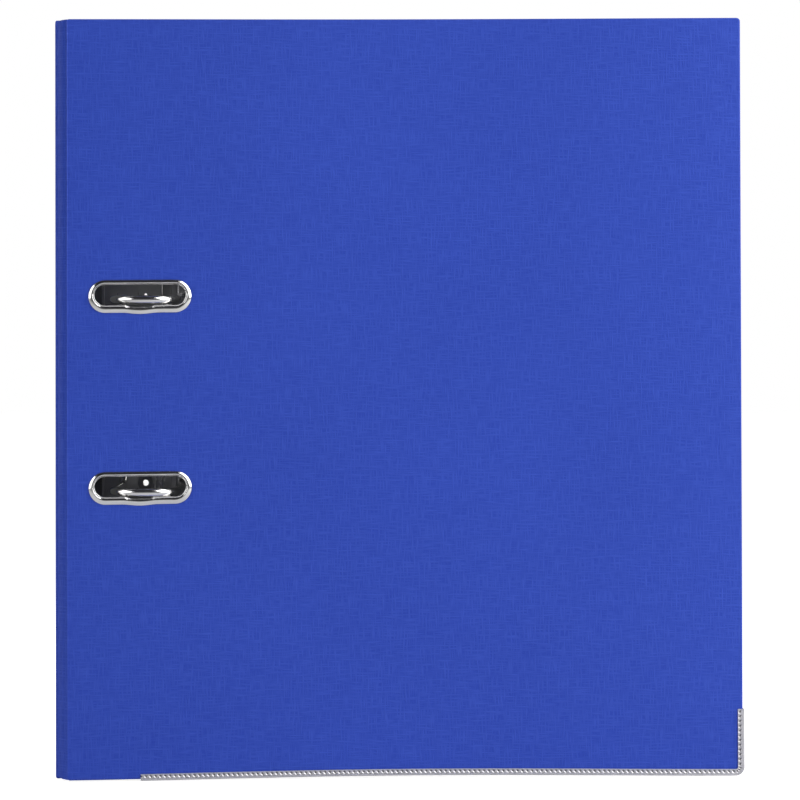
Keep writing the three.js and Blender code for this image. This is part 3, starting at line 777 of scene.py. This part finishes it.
def rail(name, place, body, node_name, bowed):
    """A folded channel with a row of pressed dimples on both faces."""
    half = BOARD / 2 + AIR + RAIL_SHEET
    section = rail_section(half)
    bm = bmesh.new()
    # Each point's dimple depth, from which the rail's finish paints shade into the dimples.
    pits = bm.verts.layers.float.new("pit")
    rows = []
    for at, inward, run in rail_path():
        row = []
        for depth, y in section:
            on_face = abs(abs(y) - half) < 1e-6
            pressed = dimple(run, depth) if on_face else 0.0
            shifted = y - math.copysign(pressed * DIMPLE_DEPTH, y)
            vertex = bm.verts.new(at + inward * depth + Vector((0, shifted, 0)))
            vertex[pits] = pressed
            row.append(vertex)
        rows.append(row)
    skin(bm, rows)
    bm.faces.new(rows[0])
    bm.faces.new(rows[-1])
    if bowed:
        settle(bm)
    piece(name, bm, place, body, "rail_steel", [node_name], 60)


def eyelet_section():
    """A pressed eyelet: rounded outer rim, groove, rolled inner edge, collar and clinch.

    Each point has its growth beyond the opening and its depth from the cover's face.
    """
    through = BOARD + 0.3
    rim = [(2.5, 0.0), (2.56, -0.12), (2.5, -0.28), (2.34, -0.48), (2.08, -0.68), (1.75, -0.85)]
    ridge = [(1.4, -0.97), (1.1, -1.05), (0.85, -1.09), (0.72, -1.04), (0.64, -0.9)]
    groove = [(0.57, -0.74), (0.5, -0.66), (0.42, -0.66), (0.34, -0.72)]
    roll = [(0.24, -0.78), (0.14, -0.77), (0.05, -0.68), (0.0, -0.5)]
    clinch = [
        (0.0, through),
        (0.08, through + 0.4),
        (0.35, through + 0.62),
        (0.9, through + 0.62),
        (1.7, through + 0.45),
        (2.0, through + 0.1),
        (1.0, through),
        (1.0, 0.05),
    ]
    return rim + ridge + groove + roll + clinch


def eyelet(name, z, node_name):
    # Along the straight sides the ridge is pressed flatter than round the ends.
    flattened = {1.1: 0.05, 0.85: 0.11, 0.72: 0.12, 0.64: 0.08}
    opening_length, opening_width = SLOT_OPENING
    loops = []
    for grow, depth in eyelet_section():
        on_flange = depth <= 0
        on_lip = grow < 0.7
        width = opening_width + 2.2 * grow
        drop = FLANGE_DROP * grow / 2.5 if on_flange else 0
        loop = []
        for x, height in stadium(SLOT_X, z - drop, opening_length + 2 * grow, width):
            straight = min(1.0, abs(height - z + drop) / (width / 2)) ** 6
            y = depth + straight * flattened.get(grow, 0)
            if on_flange and height < z - opening_width / 2 + 0.01:
                beside = abs(x - SLOT_X) / POCKET_HALF
                pressed = max(0.0, 1 - beside**6)
                swelling = max(0.0, 1 - (beside / 1.25) ** 2) ** 2
                height -= 0.85 * pressed if on_lip else 0.55 * swelling
                y += 0.6 * pressed if on_lip else 0.1 * swelling
            loop.append((x, y - BOARD / 2, height))
        loops.append(loop)
    bm = bmesh.new()
    rings = [[loop[index] for loop in loops] for index in range(len(loops[0]))]
    loft(bm, rings, around=True)
    settle(bm)
    piece(name, bm, front_place, "front_cover", "nickel", [node_name], 70)


def finger_ring():
    """A rolled ring with a lip on each side of the spine and a collar through it."""
    outside = BOARD
    lip = [
        (12.0, 0.3),
        (12.25, 0.8),
        (12.9, 1.05),
        (13.9, 1.0),
        (15.2, 0.75),
        (15.9, 0.35),
        (15.95, 0.0),
    ]
    profile = [(radius, -height) for radius, height in reversed(lip)]
    profile += [(radius, outside + height) for radius, height in lip]
    profile += [(13.6, outside - 0.05), (13.6, 0.05), profile[0]]
    bm = bmesh.new()
    place = Matrix.Translation((0, 0, FINGER_Z)) @ Matrix.Rotation(math.pi / 2, 4, "X")
    turned(bm, profile, place, 72)
    piece("finger_ring_rolled", bm, spine_place, "spine", "nickel", ["finger_ring"], 60)


# ---------------------------------------------------------------- label


def label_pocket():
    """Film that steps over the card, swells a little, and is welded on along three sides."""
    low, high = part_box("label_pocket")
    half = high.y / MM
    bottom = low.z / MM
    top = high.z / MM
    step = 1.5
    fade = 12
    bm = bmesh.new()
    board(bm, rectangle(-half, half, bottom, top, 2), [], FILM, 0.1, 2)
    cut_into_strips(bm, "x", -half, half, step)
    cut_into_strips(bm, "z", bottom, bottom + 2 * step, step)
    cut_into_strips(bm, "z", bottom, bottom + 2 * fade, fade)
    cut_into_strips(bm, "z", bottom, top, 20)
    for vertex in bm.verts:
        from_side = half - abs(vertex.co.x)
        from_foot = vertex.co.z - bottom
        over_card = max(0.0, min(1.0, from_side / step, from_foot / step))
        swelling = (1 - (vertex.co.x / half) ** 2) * min(1.0, from_foot / fade)
        vertex.co.y -= BOARD + 0.12 + OVER_CARD * over_card + SWELLING * swelling
    piece("label_film_front", bm, spine_place, "spine", "label_film", ["label_pocket"])

    y = -BOARD - 0.2
    side = half - 0.8
    foot = bottom + 0.8
    head = top - 2
    seam = [(-side, y, head), (-side, y, foot), (side, y, foot), (side, y, head)]
    bm = bmesh.new()
    tube(bm, bent(seam, 2), WELD, 8)
    piece("label_weld_seam", bm, spine_place, "spine", "label_film")


def label():
    label_pocket()
    low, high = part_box("label_card")
    half = high.y / MM
    bm = bmesh.new()
    board(bm, rectangle(-half, half, low.z / MM, high.z / MM, 1), [], CARD, 0.1, 2)
    shift_y(bm, -BOARD - CARD / 2 - 0.02)
    flat_piece("label_card_blank", bm, spine_place, "spine", "label_card", "label_card")


# ---------------------------------------------------------------- lever mechanism


def mechanism_piece(name, bm, body, slot, node_name):
    piece(name, bm, mechanism_place, body, slot, [node_name])


def mechanism_box(node_name):
    """A node's box in the mechanism's frame: low and high x, rise and z."""
    low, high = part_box(node_name)
    origin = mechanism_place.translation
    near = Vector((low.x - origin.x, origin.y - high.y, low.z - origin.z)) / MM
    far = Vector((high.x - origin.x, origin.y - low.y, high.z - origin.z)) / MM
    return near, far


def post(name, z, node_name):
    """A post with a shouldered foot and a socket in its top."""
    foot = [(0, 0.2), (1.6, 0.2), (1.6, 1.15), (3.35, 1.15), (3.45, 1.3), (3.45, 2.0), (3.2, 2.4)]
    neck = [(2.5, 2.75), (2.1, 3.2), (WIRE, 3.9), (WIRE, POST_TOP - 0.35)]
    rim = [(1.9, POST_TOP - 0.1), (1.7, POST_TOP), (1.55, POST_TOP), (1.5, POST_TOP - 0.1)]
    socket = [(1.5, POST_TOP - 1.6), (0, POST_TOP - 1.6)]
    bm = bmesh.new()
    turned(bm, foot + neck + rim + socket, along_rise(POST_X, z - ARCH_DROP))
    mechanism_piece(name, bm, "back_cover", "nickel", node_name)


def arches():
    """Both arches, their shaft and the crank between them, bent from one wire."""
    crank = SHAFT_X + CRANK_REACH
    leg_top = -POST_TOP + 2
    middle = bent(
        [
            (SHAFT_X, leg_top, RING_HALF),
            (SHAFT_X, -SHAFT_RISE, RING_HALF),
            (SHAFT_X, -SHAFT_RISE, CRANK_HALF),
            (crank, -SHAFT_RISE, CRANK_HALF),
            (crank, -SHAFT_RISE, -CRANK_HALF),
            (SHAFT_X, -SHAFT_RISE, -CRANK_HALF),
            (SHAFT_X, -SHAFT_RISE, -RING_HALF),
            (SHAFT_X, leg_top, -RING_HALF),
        ],
        4,
    )
    radius = (POST_X - SHAFT_X) / 2
    steps = 64
    crown = []
    for step in range(steps + 1):
        angle = math.pi * (1 - step / steps)
        out = math.copysign(abs(math.cos(angle)) ** CROWN_FLATNESS, math.cos(angle))
        rise = POST_TOP + 0.3 + radius * abs(math.sin(angle)) ** CROWN_FLATNESS
        crown.append((SHAFT_X + radius + radius * out, -rise))
    upper = [Vector((x, y, RING_HALF)) for x, y in reversed(crown)]
    lower = [Vector((x, y, -RING_HALF)) for x, y in crown]
    bm = bmesh.new()
    tube(bm, upper + middle + lower, WIRE, 32)
    foot = POST_TOP - 1.2
    root = POST_TOP + 1
    spigot = [(0, foot), (0.9, foot), (1.1, foot + 0.2), (1.1, root), (0, root)]
    for z in (RING_HALF, -RING_HALF):
        turned(bm, spigot, along_rise(POST_X, z), 20)
    bmesh.ops.translate(bm, verts=bm.verts, vec=(0, 0, -ARCH_DROP))
    mechanism_piece("arch_wire", bm, "arches", "nickel", "arch_yoke")


def pin(name, radius, overhang, rise, z, body, node_name):
    """A pin across the lever, with a low round head at each end."""
    left = LEVER_X[0] - overhang
    right = LEVER_X[1] + overhang
    head = radius + PIN_HEAD
    half = [(0, 0), (head - 0.4, 0), (head - 0.1, 0.15), (head, 0.4), (head, 0.7), (radius, 0.7)]
    profile = [(r, left + x) for r, x in half] + [(r, right - x) for r, x in reversed(half)]
    bm = bmesh.new()
    turned(bm, profile, along_x(rise, z), 32)
    mechanism_piece(name, bm, body, "spring_steel", node_name)


def roller():
    """A wheel with a raised rim and hub on each side."""
    low, high = mechanism_box("lever_roller")
    left = low.x
    middle = (low.x + high.x) / 2
    radius = (high.z - low.z) / 2
    hub = [(1.08, left), (2.0, left), (2.1, left + 0.3)]
    rim = [
        (radius - 0.9, left + 0.3),
        (radius - 0.8, left),
        (radius - 0.35, left),
        (radius - 0.08, left + 0.15),
        (radius, left + 0.45),
    ]
    profile = hub + rim
    profile += [(r, 2 * middle - x) for r, x in reversed(profile)]
    profile.append(profile[0])
    bm = bmesh.new()
    turned(bm, profile, along_x((low.y + high.y) / 2, (low.z + high.z) / 2), 56)
    mechanism_piece("roller_wheel", bm, "roller", "roller_plastic", "lever_roller")


def arch_spring():
    """A torsion spring wound round the shaft, with an arm at each end."""
    arm_x = SHAFT_X + COIL_ARM
    stations = 32
    points = [Vector((arm_x, -(SHAFT_RISE - COIL), COIL_BOTTOM))]
    for step in range(round(COIL_TURNS * stations) + 1):
        angle = 2 * math.pi * step / stations
        x = SHAFT_X - COIL * math.sin(angle)
        rise = SHAFT_RISE - COIL * math.cos(angle)
        points.append(Vector((x, -rise, COIL_BOTTOM + COIL_PITCH * step / stations)))
    points.append(Vector((arm_x, -(SHAFT_RISE + COIL), COIL_BOTTOM + COIL_PITCH * COIL_TURNS)))
    bm = bmesh.new()
    tube(bm, points, COIL_WIRE, 12)
    mechanism_piece("arch_spring_coil", bm, "back_cover", "spring_steel", "arch_spring")


def rivets():
    """Hollow rivets: a domed head outside the cover, a tube, and a clinched edge on the plate."""
    head = -BOARD - LINING - AIR - 0.05
    clinch = 1.15
    bore = 1.3
    tube_radius = 2.2
    dome = [
        (bore, head - 0.3),
        (1.5, head - 0.62),
        (1.9, head - 0.8),
        (2.8, head - 0.82),
        (3.9, head - 0.62),
        (4.35, head - 0.35),
        (4.5, head),
    ]
    edge = [
        (3.4, clinch),
        (3.35, clinch + 0.3),
        (2.9, clinch + 0.55),
        (2.2, clinch + 0.62),
        (1.6, clinch + 0.45),
        (bore, clinch + 0.1),
    ]
    profile = dome + [(tube_radius, head), (tube_radius, clinch)] + edge + [dome[0]]
    for index, (node_name, x, z) in enumerate(rivet_places(), 1):
        bm = bmesh.new()
        turned(bm, profile, along_rise(x, z), 36)
        mechanism_piece(f"hollow_rivet_{index}", bm, "back_cover", "spring_steel", node_name)


def grip_wire():
    """The friction wire along the compressor bar, its ends bent down through the bar."""
    low, high = mechanism_box("compressor_spring")
    x = (low.x + high.x) / 2
    half = (high.z - low.z) / 2 - GRIP_WIRE
    top = high.y - GRIP_WIRE
    corners = [(x, -low.y, half), (x, -top, half), (x, -top, -half), (x, -low.y, -half)]
    bm = bmesh.new()
    tube(bm, bent(corners, 1), GRIP_WIRE, 16)
    mechanism_piece("compressor_wire", bm, "compressor", "spring_steel", "compressor_spring")


def carried_over(node_name, finish):
    """A folded sheet part keeps its CAD shape and gets softened edges and its finish."""
    made = frame["nodes"][node_name]
    made.data.materials.clear()
    made.data.materials.append(finishes[finish])
    made.data.shade_smooth()
    made.data.set_sharp_from_angle(angle=math.radians(32))
    softened = made.modifiers.new("soft_edges", "BEVEL")
    softened.width = CAD_BEVEL * MM
    softened.segments = 2
    softened.limit_method = "ANGLE"
    softened.angle_limit = math.radians(40)
    softened.harden_normals = True


front_cover()
back_cover()
spine()
hinge_foil("front_hinge_fold", hinge_place("front_hinge"), "front_hinge_foil", at_back=False)
hinge_foil("back_hinge_fold", hinge_place("spine_hinge"), "back_hinge_foil", at_back=True)
rail("front_rail_dimpled", front_place, "front_cover", "front_edge_rail", bowed=True)
rail("back_rail_dimpled", back_place, "back_cover", "back_edge_rail", bowed=False)
eyelet("upper_slot_rim", slot_heights[0], "slot_eyelet_upper")
eyelet("lower_slot_rim", slot_heights[1], "slot_eyelet_lower")
finger_ring()
label()
post("upper_post", RING_HALF, "post_upper")
post("lower_post", -RING_HALF, "post_lower")
arches()
pin("pivot_pin", 1.5, 2.6, PIVOT_RISE, PIVOT_Z, "back_cover", "lever_pivot_pin")
pin("roller_axle", 1.0, 0.8, ROLLER_RISE, ROLLER_Z, "lever", "roller_pin")
roller()
arch_spring()
rivets()
grip_wire()
carried_over("base_plate", "nickel_sheet")
carried_over("compressor_bar", "nickel_sheet")
carried_over("lever_arm", "satin_nickel")


# ---------------------------------------------------------------- studio


def area_light(name, place, target, size, energy):
    data = bpy.data.lights.new(name, "AREA")
    data.shape = "RECTANGLE"
    data.size, data.size_y = size
    data.energy = energy
    light = bpy.data.objects.new(name, data)
    light.location = place
    light.rotation_euler = (Vector(target) - Vector(place)).to_track_quat("-Z", "Y").to_euler()
    bpy.context.scene.collection.objects.link(light)


def floor_paint():
    """Pale round the file and dark further off, which only reflections and light take in.

    Seen straight, it glows enough to be as white as the backdrop.
    """
    made, tree, shader = principled("floor_paint", Roughness=0.9, Emission_Color=WHITE)
    place = position(tree)
    seen = node(tree, "ShaderNodeLightPath").outputs["Is Camera Ray"]
    away = distance(tree, place)
    glow = arithmetic(tree, "MULTIPLY", seen, spread(tree, away, 0.88, 1.0, 0.3, 0.8))
    tree.links.new(glow, shader.inputs["Emission Strength"])
    half_as_wide = node(tree, "ShaderNodeMapping", {"Vector": place, "Scale": (0.5, 1, 1)})
    reach = distance(tree, half_as_wide.outputs[0])
    colour = mixed(tree, spread(tree, reach, 0, 1, 0.5, 1.1), FLOOR_NEAR, FLOOR_FAR)
    tree.links.new(colour, shader.inputs["Base Color"])
    return made


def floor():
    half = 6
    corners = [(-half, -half, 0), (half, -half, 0), (half, half, 0), (-half, half, 0)]
    mesh = bpy.data.meshes.new("floor")
    mesh.from_pydata(corners, [], [(0, 1, 2, 3)])
    mesh.materials.append(floor_paint())
    made = bpy.data.objects.new("floor", mesh)
    made.location.z = -0.0002
    bpy.context.scene.collection.objects.link(made)


def backdrop():
    """White where it is seen straight, and a dim room for light and reflections."""
    world = bpy.data.worlds.new("studio")
    bpy.context.scene.world = world
    world.use_nodes = True
    tree = world.node_tree
    seen = node(tree, "ShaderNodeLightPath").outputs["Is Camera Ray"]
    direction = node(tree, "ShaderNodeTexCoord").outputs[0]
    height = node(tree, "ShaderNodeSeparateXYZ", {0: direction}).outputs[2]
    gloom = mixed(tree, spread(tree, height, 0, 1, -0.1, 0.25), GLOOM_LOW, GLOOM_HIGH)
    colour = mixed(tree, seen, gloom, WHITE)
    tree.links.new(colour, tree.nodes["Background"].inputs["Color"])


def lights():
    """Large soft boxes at the left and the right, turned across the front, and one behind."""
    area_light("left_box", (-1.6, -1.6, 0.95), (0, -1.6, 0.95), (2.7, 1.9), 36)
    area_light("right_box", (0.6, -0.48, 0.6), (0, -0.48, 0.3), (1.15, 1.1), 14.2)
    area_light("back_box", (-0.4, 1.5, 0.7), (0, 0, 0.16), (1.2, 0.9), 9)


def camera():
    """Level with the file's upper half and almost square to the front cover."""
    away = 1.5
    view_width = 0.33095
    sensor = 36
    pitch = math.radians(0.6)
    aim = Vector((0, -0.037, 0.1749))
    forward = Vector((0, math.cos(pitch), -math.sin(pitch)))
    right = Vector((1, 0, 0))
    up = right.cross(forward)
    data = bpy.data.cameras.new("camera")
    data.sensor_width = sensor
    data.lens = sensor * away / view_width
    data.shift_y = -0.05
    made = bpy.data.objects.new("camera", data)
    turn = Matrix((right, up, -forward)).transposed().to_4x4()
    made.matrix_world = Matrix.Translation(aim - forward * away) @ turn
    bpy.context.scene.collection.objects.link(made)
    bpy.context.scene.camera = made


floor()
backdrop()
lights()
camera()
bpy.context.scene.view_settings.view_transform = "Standard"
